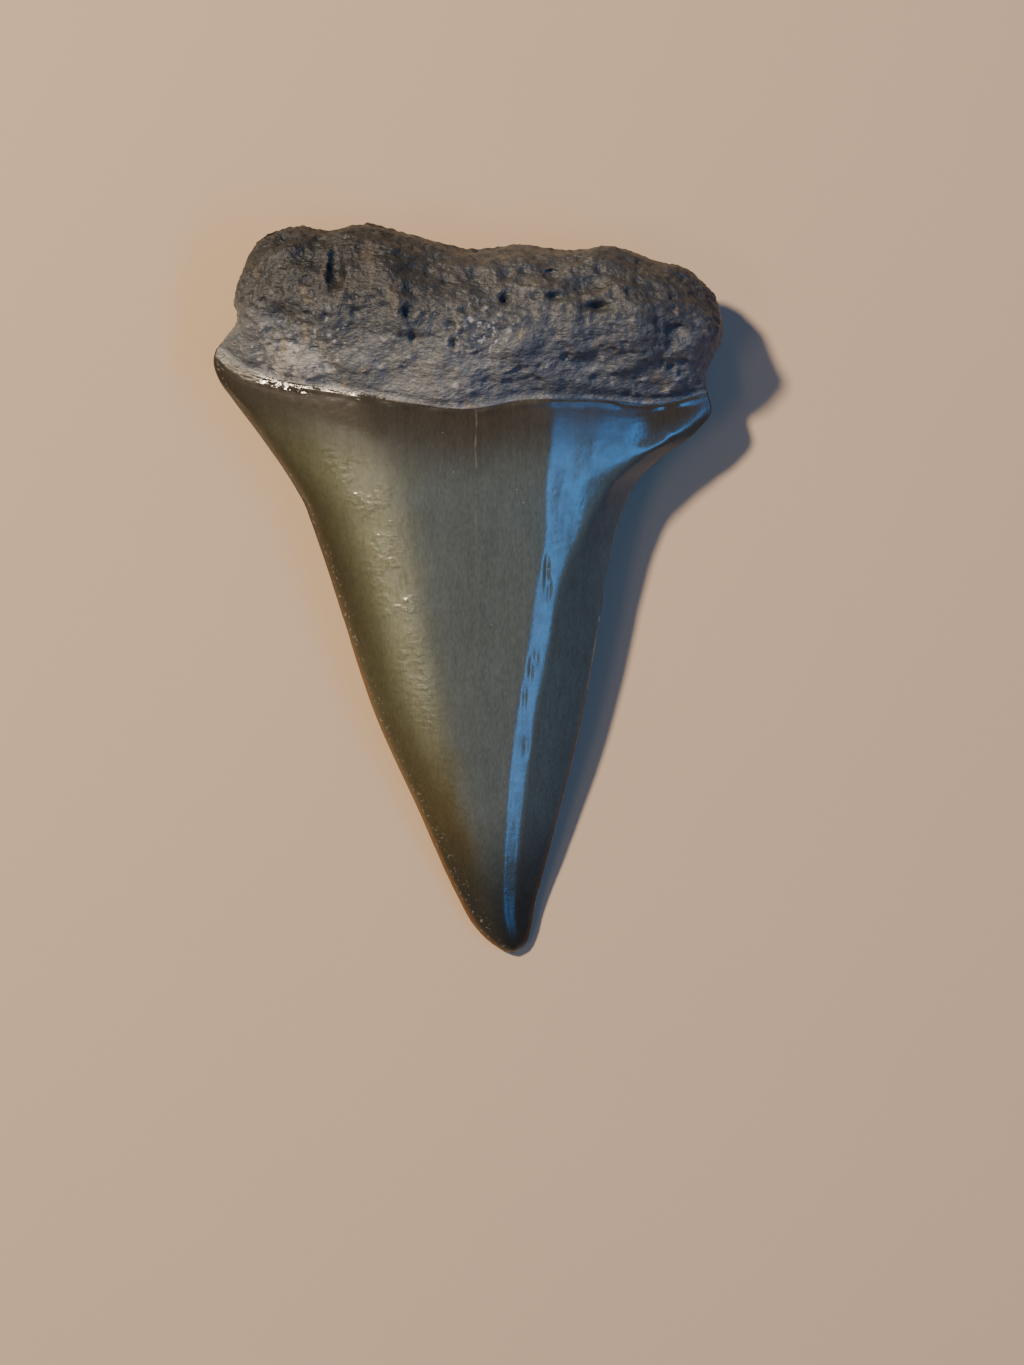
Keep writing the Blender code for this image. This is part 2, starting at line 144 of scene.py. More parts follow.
# the tooth's form, in millimetres: the same outline, heights and sections as its solid
toothForm = {
    "rootTop": [
        (-18.1, 26.9), (-16.9, 28.6), (-14.0, 29.5), (-11.2, 29.2), (-8.4, 29.8), (-4.7, 28.8), (0.1, 27.7),
        (4.2, 28.0), (8.0, 27.6), (12.0, 27.8), (15.6, 26.5), (17.6, 26.1), (19.2, 24.8), (20.1, 23.9),
    ],
    "rootLeft": [(-18.1, 26.9), (-18.8, 25.0), (-19.3, 23.6), (-19.1, 21.7), (-19.9, 20.5), (-20.7, 19.5)],
    "rootRight": [(20.1, 23.9), (20.55, 22.3), (20.75, 20.7), (20.0, 18.8), (19.3, 17.1), (19.5, 15.8)],
    "crownLeft": [
        (-20.7, 19.5), (-20.9, 18.7), (-20.5, 17.1), (-19.4, 15.5), (-16.9, 12.1), (-13.8, 7.25),
        (-12.2, 3.2),
        (-9.9, -4.0), (-7.9, -10.0), (-4.1, -18.6), (-1.1, -25.4), (0.3, -27.9), (1.6, -29.25), (2.6, -29.9),
        (3.5, -30.2),
    ],
    "crownRight": [
        (19.5, 15.8), (19.8, 14.6), (18.5, 12.7), (16.2, 11.0), (13.5, 8.5), (12.1, 5.2), (11.2, 0.8),
        (10.2, -5.7), (8.7, -13.0), (6.8, -20.7), (5.3, -26.7), (5.0, -28.4), (4.45, -29.65), (3.5, -30.2),
    ],
    "upperEnamel": [
        (-20.7, 19.5), (-18.8, 17.9), (-16.2, 16.9), (-10.0, 15.7), (-4.0, 14.5), (0.0, 14.15), (4.0, 14.8),
        (10.0, 15.1), (15.0, 14.8), (19.5, 15.8),
    ],
    "lowerEnamel": [
        (-20.7, 19.5), (-15.0, 18.9), (-7.0, 18.3), (0.0, 18.0), (8.0, 17.7), (15.0, 16.9), (19.5, 15.8),
    ],
    "rootRimZ": [(0.0, 5.9), (0.5, 5.6), (1.0, 5.1)],
    "rootRise": [
        (0.0, 0.0), (0.04, 2.1), (0.12, 3.9), (0.25, 5.5), (0.42, 6.6), (0.6, 6.7), (0.8, 5.5), (1.0, 3.95),
    ],
    "rootDrop": [(0.0, 0.0), (0.05, 2.4), (0.15, 4.2), (0.3, 5.2), (0.6, 5.3), (0.85, 4.5), (1.0, 3.6)],
    "crownRimZ": [(0.0, 5.1), (0.12, 4.9), (0.35, 4.2), (0.6, 3.1), (0.8, 1.8), (0.93, 0.95), (1.0, 0.65)],
    "crownRise": [
        (0.0, 3.95), (0.05, 4.05), (0.1, 4.05), (0.15, 3.98), (0.2, 3.87), (0.29, 3.6), (0.37, 3.45),
        (0.44, 3.3), (0.51, 3.12), (0.61, 2.78), (0.7, 2.4), (0.78, 2.0), (0.87, 1.5), (0.95, 0.9),
        (1.0, 0.0),
    ],
    "crownDrop": [(0.0, 3.6), (0.2, 2.9), (0.45, 2.2), (0.7, 1.6), (0.88, 1.25), (0.96, 0.85), (1.0, 0.0)],
    "rootSection": (2.7, 0.5),
    # the crown's facets run from ridge to break, as shares of the half width, and steeper flanks follow
    "upperLeftRidge": [
        (0.0, 0.36), (0.06, 0.37), (0.15, 0.32), (0.27, 0.36), (0.44, 0.38), (0.7, 0.3), (1.0, 0.2),
    ],
    "upperLeftBreak": [
        (0.0, 0.62), (0.07, 0.64), (0.15, 0.57), (0.27, 0.53), (0.44, 0.51), (0.7, 0.42), (1.0, 0.35),
    ],
    "upperRightRidge": [
        (0.0, 0.37), (0.05, 0.375), (0.1, 0.405), (0.15, 0.455), (0.2, 0.505), (0.29, 0.548), (0.37, 0.5),
        (0.44, 0.468), (0.51, 0.418), (0.61, 0.345), (0.68, 0.295), (0.78, 0.233), (0.87, 0.17),
        (1.0, 0.1),
    ],
    "upperRightBreak": [
        (0.0, 0.985), (0.03, 0.965), (0.06, 0.925), (0.095, 0.855), (0.12, 0.825), (0.15, 0.825), (0.2, 0.83),
        (0.245, 0.8), (0.29, 0.75), (0.37, 0.665), (0.44, 0.635), (0.51, 0.587), (0.61, 0.533), (0.7, 0.5),
        (0.85, 0.46), (1.0, 0.45),
    ],
    "upperRidgeSoftness": (0.9, 0.13),
    "upperLeftSoftness": [(0.0, 1.0), (1.0, 1.0)],
    "upperRightSoftness": [(0.0, 0.25), (0.12, 0.25), (0.2, 0.22), (0.28, 0.18), (0.4, 0.16), (1.0, 0.14)],
    "upperDome": 0.016,
    "upperRidgeBend": [(0.0, 0.27), (0.1, 0.27), (0.2, 0.258), (0.3, 0.25), (1.0, 0.26)],
    "upperLeftBend": [(0.0, 0.1), (0.15, 0.25), (0.3, 0.35), (0.5, 0.36), (1.0, 0.36)],
    "upperRightBend": [
        (0.0, 0.3), (0.05, 0.28), (0.1, 0.26), (0.15, 0.32), (0.2, 0.37), (0.26, 0.37), (0.4, 0.37),
        (1.0, 0.37),
    ],
    # steps of the right facet's slope near the root: distance from the middle, change, softness
    "upperRightSteps": [
        (
            [(0.0, 9.3), (1.0, 9.3)],
            [
                (0.0, -0.06), (0.1, -0.07), (0.16, -0.11), (0.2, -0.09), (0.25, -0.03), (0.3, 0.0),
                (0.4, 0.0), (1.0, 0.0),
            ],
            0.25,
        ),
        (
            [(0.0, 11.3), (0.06, 11.1), (0.11, 10.6), (0.16, 10.2), (0.2, 9.9), (0.3, 9.6), (1.0, 9.6)],
            [
                (0.0, 0.06), (0.1, 0.07), (0.16, 0.11), (0.2, 0.09), (0.25, 0.03), (0.3, 0.0), (0.4, 0.0),
                (1.0, 0.0),
            ],
            0.25,
        ),
        (
            [(0.0, 15.0), (0.05, 14.9), (0.1, 13.9), (0.15, 13.0), (1.0, 13.0)],
            [(0.0, -0.16), (0.05, -0.14), (0.09, -0.08), (0.13, -0.03), (0.17, 0.0), (0.3, 0.0), (1.0, 0.0)],
            0.4,
        ),
    ],
    "lowerLeftRidge": [(0.0, 0.45), (1.0, 0.3)],
    "lowerLeftBreak": [(0.0, 0.55), (1.0, 0.4)],
    "lowerRightRidge": [(0.0, 0.45), (1.0, 0.3)],
    "lowerRightBreak": [(0.0, 0.55), (1.0, 0.4)],
    "lowerRidgeSoftness": (3.0, 3.0),
    "lowerLeftSoftness": [(0.0, 3.0), (1.0, 3.0)],
    "lowerRightSoftness": [(0.0, 3.0), (1.0, 3.0)],
    "lowerDome": 0.03,
    "lowerRidgeBend": [(0.0, 0.1), (1.0, 0.1)],
    "lowerLeftBend": [(0.0, 0.1), (1.0, 0.1)],
    "lowerRightBend": [(0.0, 0.1), (1.0, 0.1)],
    "lowerRightSteps": [],
    "smallHalfWidth": 2.5,
    "leastHalfWidth": 0.001,
    "sectionTurn": 1.7,
    "rimFade": 1.5,
    # the root's two lobes, swollen downwards here and cut flat where the tooth lies
    "lobeFlats": [(-12.0, 22.4), (12.6, 21.6)],
    "lobeRadius": 5.0,
    "lobePress": 1.8,
    # how finely the mesh is divided, and how far its rows crowd towards rims and enamel line
    "cellsAcross": 236,
    "rootRows": 108,
    "crownRows": 88,
    "edgeCrowding": 0.25,
    "rowCrowding": 0.3,
    "lineCrowding": 1.3,
    # dents: x, y, half width, half length, depth
    "upperDents": [
        (-10.7, 25.2, 0.42, 1.5, 1.0),
        (9.8, 24.2, 1.1, 0.6, 1.0),
        (-12.8, 24.4, 0.4, 0.4, 0.4),
        (-4.8, 21.6, 0.45, 0.4, 0.7),
        (-1.4, 20.6, 0.45, 0.4, 0.7),
        (6.8, 24.9, 0.45, 0.4, 0.8),
        (3.0, 24.7, 0.45, 0.4, 0.7),
        (16.5, 20.4, 1.0, 0.7, 0.6),
        (-15.5, 21.5, 1.2, 0.7, 0.5),
        (0.4, 27.0, 3.2, 1.4, 0.7),
        (16.9, 11.9, 0.6, 0.4, 0.25),
    ],
    "lowerDents": [
        (0.3, 25.0, 3.0, 2.6, 1.1),
        (-2.0, 21.6, 0.6, 0.7, 1.2),
        (3.4, 22.4, 0.5, 0.6, 1.0),
        (-8.0, 24.2, 1.6, 1.0, 0.6),
        (9.5, 23.2, 1.4, 1.0, 0.6),
        (0.0, 14.5, 7.0, 2.4, 0.45),
    ],
    # small pits in the enamel, along the right-hand ridge and on the left flank
    "enamelPits": [
        (6.3, 1.8, 0.2, 0.28, 0.1), (6.25, 0.7, 0.2, 0.3, 0.12), (6.5, -0.2, 0.16, 0.2, 0.09),
        (6.1, -0.4, 0.14, 0.14, 0.08), (5.45, -5.9, 0.22, 0.16, 0.11), (5.0, -6.5, 0.2, 0.2, 0.1),
        (4.5, -8.6, 0.16, 0.2, 0.09), (4.45, -10.5, 0.22, 0.22, 0.12), (4.6, -12.9, 0.3, 0.14, 0.12),
        (-5.3, 0.3, 0.3, 0.5, 0.2), (-6.1, 2.6, 0.2, 0.4, 0.12), (-5.8, -1.4, 0.2, 0.35, 0.1),
        (-7.3, 4.4, 0.25, 0.35, 0.1),
    ],
    # sharp pits in the root, pressed in after its fine relief
    "rootPits": [
        (10.3, 22.2, 0.85, 0.32, 1.3),
        (6.9, 23.0, 0.6, 0.28, 0.9),
        (2.9, 22.7, 0.4, 0.3, 0.8),
        (-1.1, 19.2, 0.25, 0.4, 0.6),
        (-4.4, 19.8, 0.3, 0.35, 0.7),
    ],
    # nicks in the cutting edges: x, y, radius, depth
    "edgeNicks": [
        (-13.6, 6.8, 0.6, 0.4), (-10.1, -3.3, 0.6, 0.4), (11.2, 0.6, 0.7, 0.4), (-2.6, -22.0, 0.5, 0.2),
    ],
}


def crowded(cells, crowding):
    even = np.linspace(0, 1, cells + 1)
    return (1 - crowding) * even + crowding * (1 - np.cos(np.pi * even)) / 2


# places at fractions of the length of a smooth curve through points
def smoothPath(points, at):
    knots = np.asarray(points, dtype=float)
    gaps = np.linalg.norm(np.diff(knots, axis=0), axis=1)
    reach = np.concatenate([[0.0], np.cumsum(gaps)])
    return smoothGraph(reach, knots, np.asarray(at) * reach[-1])


# values of a smooth graph through (place, value) pairs
def smoothGraph(places, values, at):
    slopes = np.gradient(values, places, axis=0)
    span = np.clip(np.searchsorted(places, at, side="right") - 1, 0, len(places) - 2)
    width = places[span + 1] - places[span]
    t = (at - places[span]) / width
    if values.ndim > 1:
        width, t = width[:, None], t[:, None]
    startPart = (2 * t**3 - 3 * t**2 + 1) * values[span] + (t**3 - 2 * t**2 + t) * width * slopes[span]
    endPart = (3 * t**2 - 2 * t**3) * values[span + 1] + (t**3 - t**2) * width * slopes[span + 1]
    return startPart + endPart


def profile(pairs, at):
    places, values = np.asarray(pairs, dtype=float).T
    return smoothGraph(places, values, at)


# how far a line across the tooth leaves the straight chord between its ends
def bowOf(points, across):
    line = smoothPath(points, across)
    return line - (line[0] + (line[-1] - line[0]) * across[:, None])


def rowsInPlan(left, right, firstBow, lastBow, along, across):
    start = smoothPath(left, along)[:, None, :]
    end = smoothPath(right, along)[:, None, :]
    u = across[None, :, None]
    s = along[:, None, None]
    return start + (end - start) * u + firstBow * (1 - s) + lastBow * s


# a straight line that sets in softly where the value is zero
def bent(value, softness):
    return softness * np.logaddexp(0, value / softness)


# share of the full height over the crown, one at the middle and zero at both rims
def crownShare(form, face, halfWidth, along, across):
    half = halfWidth[:, None]
    reach = np.abs(2 * across - 1)[None, :] * half
    leftward = (across < 0.5)[None, :]

    def sided(name):
        left = profile(form[face + "Left" + name], along)[:, None]
        right = profile(form[face + "Right" + name], along)[:, None]
        return np.where(leftward, left, right)

    ridge = half * sided("Ridge")
    edge = half * sided("Break")
    bend = sided("Bend")
    ridgeBend = profile(form[face + "RidgeBend"], along)[:, None]
    small = half / (half + form["smallHalfWidth"])
    ridgeSoftness = np.where(leftward, *form[face + "RidgeSoftness"]) * small
    edgeSoftness = sided("Softness") * small

    def fall(distance):
        inner = np.minimum(distance, ridge)
        drop = form[face + "Dome"] * inner * (distance - inner / 2)
        drop = drop + ridgeBend * bent(distance - ridge, ridgeSoftness)
        drop = drop + bend * bent(distance - edge, edgeSoftness)
        for place, change, softness in form[face + "RightSteps"]:
            step = bent(distance - profile(place, along)[:, None], softness)
            drop = drop + np.where(leftward, 0.0, profile(change, along)[:, None] * step)
        return drop

    top = fall(0 * reach)
    return 1 - (fall(reach) - top) / (fall(half + 0 * reach) - top)


# one face of the tooth as rows of points, with each point's distance past the enamel line
def toothSheet(form, face, side, across, rootAlong, crownAlong):
    topBow = bowOf(form["rootTop"], across)
    lineBow = bowOf(form[face + "Enamel"], across)
    root = rowsInPlan(form["rootLeft"], form["rootRight"], topBow, lineBow, rootAlong, across)
    crown = rowsInPlan(form["crownLeft"], form["crownRight"], lineBow, 0 * lineBow, crownAlong, across)
    crownWidth = np.linalg.norm(crown[:, -1] - crown[:, 0], axis=1)
    halfWidth = np.maximum(0.5 * crownWidth, form["leastHalfWidth"])
    crownPart = crownShare(form, face, halfWidth, crownAlong, across)
    w = np.abs(2 * across - 1)
    rootPart = (1 - w ** form["rootSection"][0]) ** form["rootSection"][1]
    turn = np.clip(2 * rootAlong[:, None] - 1, 0, 1) ** form["sectionTurn"]
    rootPart = rootPart[None, :] * (1 - turn) + crownPart[:1] * turn
    heightName = "Rise" if side > 0 else "Drop"
    rootRim = profile(form["rootRimZ"], rootAlong)
    crownRim = profile(form["crownRimZ"], crownAlong)
    rootZ = rootRim[:, None] + side * profile(form["root" + heightName], rootAlong)[:, None] * rootPart
    crownZ = crownRim[:, None] + side * profile(form["crown" + heightName], crownAlong)[:, None] * crownPart
    rootRun = np.linalg.norm(root[-1] - root[0], axis=1)
    crownRun = np.linalg.norm(crown[-1] - crown[0], axis=1)
    plan = np.concatenate([root, crown[1:]])
    height = np.concatenate([rootZ, crownZ[1:]])
    rim = np.concatenate([rootRim, crownRim[1:]])
    gap = np.concatenate([(rootAlong[:, None] - 1) * rootRun, crownAlong[1:, None] * crownRun])
    fade = np.clip(np.abs(height - rim[:, None]) / form["rimFade"], 0, 1)
    return np.dstack([plan, height]), gap, fade


def hump(value, centre, width):
    return np.exp(-(((value - centre) / width) ** 2))


def pressDents(points, fade, dents, side):
    for x, y, halfWidth, halfLength, depth in dents:
        dent = hump(points[..., 0], x, halfWidth) * hump(points[..., 1], y, halfLength)
        points[..., 2] -= side * depth * fade * dent


def readArray(collection, name, size):
    held = np.empty(len(collection) * size, dtype=np.float32)
    collection.foreach_get(name, held)
    return held.reshape(-1, size) if size > 1 else held


def addAttribute(mesh, name, values):
    mesh.attributes.new(name, "FLOAT", "POINT").data.foreach_set("value", values.astype(np.float32))


# both faces as one closed mesh that shares its rim, with the values that finish and relief follow
def toothMesh(form):
    across = crowded(form["cellsAcross"], form["edgeCrowding"])
    rootAlong = crowded(form["rootRows"], form["rowCrowding"])
    crownAlong = crowded(form["crownRows"], form["rowCrowding"]) ** form["lineCrowding"]
    upper, upperGap, upperFade = toothSheet(form, "upper", 1, across, rootAlong, crownAlong)
    lower, lowerGap, lowerFade = toothSheet(form, "lower", -1, across, rootAlong, crownAlong)
    pressDents(upper, upperFade, form["upperDents"] + form["enamelPits"], 1)
    pressDents(lower, lowerFade, form["lowerDents"], -1)
    for x, y in form["lobeFlats"]:
        reach = np.hypot(lower[..., 0] - x, lower[..., 1] - y) / form["lobeRadius"]
        lower[..., 2] -= form["lobePress"] * np.exp(-(reach**4)) * lowerFade

    # the underside shares the rim's points, and each tip row is one point
    rows, columns = upper.shape[:2]
    number = np.arange(rows * columns).reshape(rows, columns)
    number[-1, :] = number[-1, 0]
    under = number + rows * columns
    under[0, :], under[-1, :] = number[0, :], number[-1, :]
    under[:, 0], under[:, -1] = number[:, 0], number[:, -1]
    # quads of both faces, turned on the underside so that all of them point outwards
    quads = []
    for grid, turned in ((number, False), (under, True)):
        corners = [grid[:-1, :-1], grid[1:, :-1], grid[1:, 1:], grid[:-1, 1:]]
        corners = np.stack(corners, axis=-1).reshape(-1, 4)
        quads.append(corners[:, ::-1] if turned else corners)
    used, renumbered = np.unique(np.concatenate(quads), return_inverse=True)
    faces = [tuple(dict.fromkeys(face)) for face in renumbered.reshape(-1, 4).tolist()]
    places = np.concatenate([upper.reshape(-1, 3), lower.reshape(-1, 3)])[used]

    # how far a point lies past the enamel line, across, along and from each edge, and which way it faces
    mesh = bpy.data.meshes.new("tooth_surface")
    mesh.from_pydata(places * mm, [], faces)
    alongs = np.concatenate([np.zeros(form["rootRows"]), crownAlong])
    leftReach = np.hypot(upper[..., 0] - upper[:, :1, 0], upper[..., 1] - upper[:, :1, 1])
    rightReach = np.hypot(upper[..., 0] - upper[:, -1:, 0], upper[..., 1] - upper[:, -1:, 1])
    values = {
        "gap": np.concatenate([upperGap.ravel(), lowerGap.ravel()]),
        "across": np.tile(np.broadcast_to(across, (rows, columns)).ravel(), 2),
        "along": np.tile(np.broadcast_to(alongs[:, None], (rows, columns)).ravel(), 2),
        "leftReach": np.tile(leftReach.ravel(), 2),
        "rightReach": np.tile(rightReach.ravel(), 2),
        "facing": np.repeat([1.0, -1.0], rows * columns),
    }
    for name, value in values.items():
        addAttribute(mesh, name, value[used])
    return mesh


# in millimetres, each feature's size or place first and its height or depth last
toothRelief = {
    "lump": (4.2, 0.55),
    "grain": (1.7, 0.4),
    "grainStretch": 0.7,
    "poreScale": 1.7,
    "poreShare": 0.5,
    "wave": (7.0, 0.07),
    # place past the enamel line, width, and height or depth
    "lip": (0.14, 0.2, 0.1),
    "groove": (-0.4, 0.3, 0.14),
    # chips in the lip: their size, and the lip's least, middle and greatest share of its height
    "lipChipSize": 1.6,
    "lipShare": (0.0, 0.7, 1.4),
    "lipChipping": 1.6,
    # the lip is low at its left end, up to these places in x
    "lipFade": (-15.0, -12.5),
    "lipFadeShare": (0.2, 1.0),
    "quietBand": 2.6,
    "quietShare": 0.35,
    "rootEdge": (-0.12, 0.1),
    "rimCalm": 1.6,
    "rimLumpShare": 0.15,
}


def noiseAt(places):
    return np.array([noise.noise(Vector(place)) for place in places])


# the lumps that the solid has too: rough root, quiet enamel, a lip where they meet and nicks in the edges
def raiseLumps(mesh, relief, nicks):
    places = readArray(mesh.vertices, "co", 3).astype(float) / mm
    normals = readArray(mesh.vertex_normals, "vector", 3).astype(float)
    gap = readArray(mesh.attributes["gap"].data, "value", 1).astype(float)
    edge, edgeWidth = relief["rootEdge"]
    rooted = 1 / (1 + np.exp(np.clip((gap - edge) / edgeWidth, -40, 40)))
    facing = np.minimum(1, np.abs(normals[:, 2]) * relief["rimCalm"])
    lumpSize, lumpHeight = relief["lump"]
    grainSize, grainHeight = relief["grain"]
    waveSize, waveHeight = relief["wave"]
    lipPlace, lipWidth, lipHeight = relief["lip"]
    groovePlace, grooveWidth, grooveDepth = relief["groove"]
    leastLip, middleLip, mostLip = relief["lipShare"]
    stretch = np.array([relief["grainStretch"], 1, 1]) / grainSize
    lump = noiseAt(places / lumpSize) * lumpHeight
    grain = noiseAt(places * stretch)
    pore = np.abs(noiseAt(places * stretch * relief["poreScale"]))
    wave = noiseAt(places / waveSize) * waveHeight
    chipped = noiseAt(places / relief["lipChipSize"])
    rimShare = relief["rimLumpShare"] + (1 - relief["rimLumpShare"]) * facing
    lipHeight = lipHeight * np.clip(middleLip + relief["lipChipping"] * chipped, leastLip, mostLip)
    lipHeight = lipHeight * np.interp(places[:, 0], relief["lipFade"], relief["lipFadeShare"])
    seam = lipHeight * hump(gap, lipPlace, lipWidth) - grooveDepth * hump(gap, groovePlace, grooveWidth)
    calm = relief["quietShare"] + (1 - relief["quietShare"]) * np.clip(-gap / relief["quietBand"], 0, 1)
    rough = (lump + (grain - pore * relief["poreShare"]) * grainHeight) * rimShare
    move = rooted * calm * rough + (1 - rooted) * wave + seam * facing
    for x, y, radius, depth in nicks:
        reach = ((places[:, 0] - x) ** 2 + (places[:, 1] - y) ** 2) / radius**2
        move -= depth * np.exp(-reach) * (1 - facing)
    places += normals * move[:, None]
    mesh.vertices.foreach_set("co", (places * mm).ravel())
    addAttribute(mesh, "rooted", rooted)
    mesh.update()


# named inputs of the fine relief: sizes, heights and depths in millimetres, and the seed
fineRelief = {
    "Crumple Size": 0.9,
    "Crumple Height": 0.065,
    "Fibre Width": 0.24,
    "Fibre Height": 0.17,
    "Pore Size": 1.2,
    "Pore Depth": 0.24,
    "Pit Spacing": 0.55,
    "Pit Depth": 0.09,
    "Enamel Dent Size": 0.9,
    "Enamel Dent Depth": 0.012,
    "Seed": 3,
}


# Geometry Nodes that cover root and enamel with their fine relief
def fineReliefTree(settings, material):
    tree = bpy.data.node_groups.new("tooth_fine_relief", "GeometryNodeTree")
    tree.interface.new_socket("Geometry", in_out="INPUT", socket_type="NodeSocketGeometry")
    tree.interface.new_socket("Geometry", in_out="OUTPUT", socket_type="NodeSocketGeometry")
    for name, value in settings.items():
        kind = "NodeSocketInt" if isinstance(value, int) else "NodeSocketFloat"
        tree.interface.new_socket(name, in_out="INPUT", socket_type=kind).default_value = value
    entry = tree.nodes.new("NodeGroupInput")
    ending = tree.nodes.new("NodeGroupOutput")
    get = {socket.name: Wire(tree, socket) for socket in entry.outputs if socket.name}
    first = get["Geometry"]
    seed = get["Seed"]

    def attribute(name):
        return first.node("GeometryNodeInputNamedAttribute", {"data_type": "FLOAT"}, Name=name)

    rooted = attribute("rooted")
    gap = attribute("gap")
    # each seed moves the patterns to another part of the noises
    place = first.node("GeometryNodeInputPosition").scaled(1.0 / mm)
    shift = first.node("ShaderNodeCombineXYZ", in0=seed * 17.3, in1=seed * 5.1, in2=seed * 2.7)
    place = place.vector("ADD", place, shift)
    drift = place.wandering(2.2, 0.5)

    crumple = drift.noise(get["Crumple Size"], detail=4.0, roughness=0.55, kind="RIDGED_MULTIFRACTAL")
    fibres = drift.stretched(0.45, 1.0, 1.0).noise(get["Fibre Width"], detail=3.0, roughness=0.6)
    # a pore has a chance of its own in each cell, and pits come in every cell
    chance = first.node("ShaderNodeSeparateXYZ", in0=drift.cells(get["Pore Size"], out=1))
    pore = (1.0 - drift.cells(get["Pore Size"]).ramp(0.12, 0.5)) * chance.ramp(0.45, 0.62)
    pit = 1.0 - drift.cells(get["Pit Spacing"]).ramp(0.1, 0.55)
    rootMove = (crumple - 0.5) * get["Crumple Height"] * 2.0 + (fibres - 0.5) * get["Fibre Height"] * 2.0
    rootMove = rootMove - pore * get["Pore Depth"] - pit * get["Pit Depth"]
    # a quieter band where the root comes down to the enamel
    quiet = 0.45 + 0.55 * (1.0 - gap.ramp(-3.2, -0.6))
    dent = drift.stretched(1.0, 0.55, 1.0).noise(get["Enamel Dent Size"])
    enamelMove = -(dent.ramp(0.52, 0.75)) * get["Enamel Dent Depth"]
    move = rooted * rootMove * quiet + (1.0 - rooted) * enamelMove
    offset = first.node("GeometryNodeInputNormal").scaled(move * mm)
    moved = first.node("GeometryNodeSetPosition", in0=first, Offset=offset)
    # what lies low is kept for the root's colours, as painted shade in its hollows and painted light on its
    # ridges
    hollow = (pore * 0.8 + pit * 0.35 - (crumple - 0.5) * 0.8 - (fibres - 0.5) * 0.9) * rooted
    kept = moved.node("GeometryNodeStoreNamedAttribute", {"data_type": "FLOAT", "domain": "POINT"},
                      Geometry=moved, Name="hollow", Value=hollow)
    whole = kept.node("GeometryNodeRealizeInstances", in0=kept)
    finished = whole.node("GeometryNodeSetMaterial", in0=whole, Material=material)
    tree.links.new(finished.socket, ending.inputs[0])
    return tree


# runs a node tree on an object and returns the result as a plain mesh
def meshFromTree(mesh, tree, settings):
    carrier = bpy.data.objects.new("relief_carrier", mesh)
    bpy.context.scene.collection.objects.link(carrier)
    modifier = carrier.modifiers.new("relief", "NODES")
    modifier.node_group = tree
    keys = {item.name: item.identifier for item in tree.interface.items_tree if item.in_out == "INPUT"}
    for name, value in settings.items():
        modifier[keys[name]] = value
    bpy.context.view_layer.update()
    depsgraph = bpy.context.evaluated_depsgraph_get()
    result = bpy.data.meshes.new_from_object(carrier.evaluated_get(depsgraph), depsgraph=depsgraph)
    carrier.modifiers.remove(modifier)
    bpy.data.objects.remove(carrier)
    return result


# presses sharp pits into the upper face and paints shade into them
def pressPits(mesh, pits):
    places = readArray(mesh.vertices, "co", 3)
    upward = readArray(mesh.vertex_normals, "vector", 3)[:, 2] > 0
    hollow = readArray(mesh.attributes["hollow"].data, "value", 1)
    for x, y, halfWidth, halfLength, depth in pits:
        pit = hump(places[:, 0] / mm, x, halfWidth) * hump(places[:, 1] / mm, y, halfLength) * upward
        places[:, 2] -= depth * mm * pit
        hollow += pit
    mesh.vertices.foreach_set("co", places.ravel())
    mesh.attributes["hollow"].data.foreach_set("value", hollow)


toothFinish = {
    "enamelRoughness": 0.2,
    "rootRoughness": 0.48,
    "coat": 0.2,
    "coatRoughness": 0.3,
    "ior": 1.55,
    "bumpStrength": 0.9,
    "bumpDistance": 0.12,
    # enamel, with painted warm light and painted shade partly in the left and right colours, a painted sheen
    # for the lighter band and painted shade for the left edge
    "centre": (0.072, 0.090, 0.086),
    "oliveAndWarmLight": (0.070, 0.075, 0.038),
    "paintedSheen": (0.205, 0.218, 0.145),
    "edgeShade": (0.023, 0.018, 0.007),
    "lowBrown": (0.072, 0.052, 0.019),
    "slateAndShade": (0.055, 0.084, 0.090),
    "tip": (0.009, 0.013, 0.012),
    "amber": (0.150, 0.075, 0.020),
    "base": (0.031, 0.028, 0.021),
    "crack": (0.20, 0.165, 0.11),
    "speck": (0.30, 0.29, 0.25),
    # root, with pale crumbs that are partly painted glints
    "rootDark": (0.045, 0.057, 0.066),
    "rootGrey": (0.200, 0.207, 0.195),
    "rootCool": (0.008, 0.015, 0.022),
    "rootPale": (0.400, 0.385, 0.335),
    "rootOchre": (0.260, 0.200, 0.115),
    "rootRed": (0.150, 0.095, 0.070),
    "crumb": (0.620, 0.640, 0.660),
    # how strongly the colours above are laid on, from 0 to 1
    "lowBrownShare": 0.6,
    "baseShare": 0.95,
    "tipShare": 0.9,
    "amberShare": 0.75,
    "crackShare": 0.5,
    "speckShare": 0.5,
    "fleckShare": 0.35,
    "paleShare": 0.6,
    "coolShare": 0.6,
    "paleNearEnamelShare": 0.22,
    "redShare": 0.25,
    "crumbShare": 0.6,
    # sizes of the patterns, in millimetres
    "streakSize": 0.55,
    "blotchSize": 5.0,
    "brushSize": 0.16,
    "smudgeSize": 1.3,
    "rippleSize": 0.5,
    "speckSpacing": 1.4,
    "grainSize": 0.6,
    "fineGrainSize": 0.22,
    "threadSize": 1 / 2.2,
    "patchSize": 3.2,
    "stainSize": 1.9,
    "crumbSize": 0.5,
    # places across the tooth, 0 at its left edge and 1 at its right one
    "oliveToCentre": (0.24, 0.44),
    "centreToSlate": (0.66, 0.86),
    "bandPlace": 0.255,
    "bandWidth": 0.075,
    # places in millimetres, the root's painted highlights as x, y, half width and half length
    "crackPlace": 0.65,
    "crackWidth": 0.06,
    "leftHighlightSpot": (-13.2, 19.0, 3.4, 2.6),
    "wornMiddle": (1.0, 20.3, 2.4, 1.7),
}


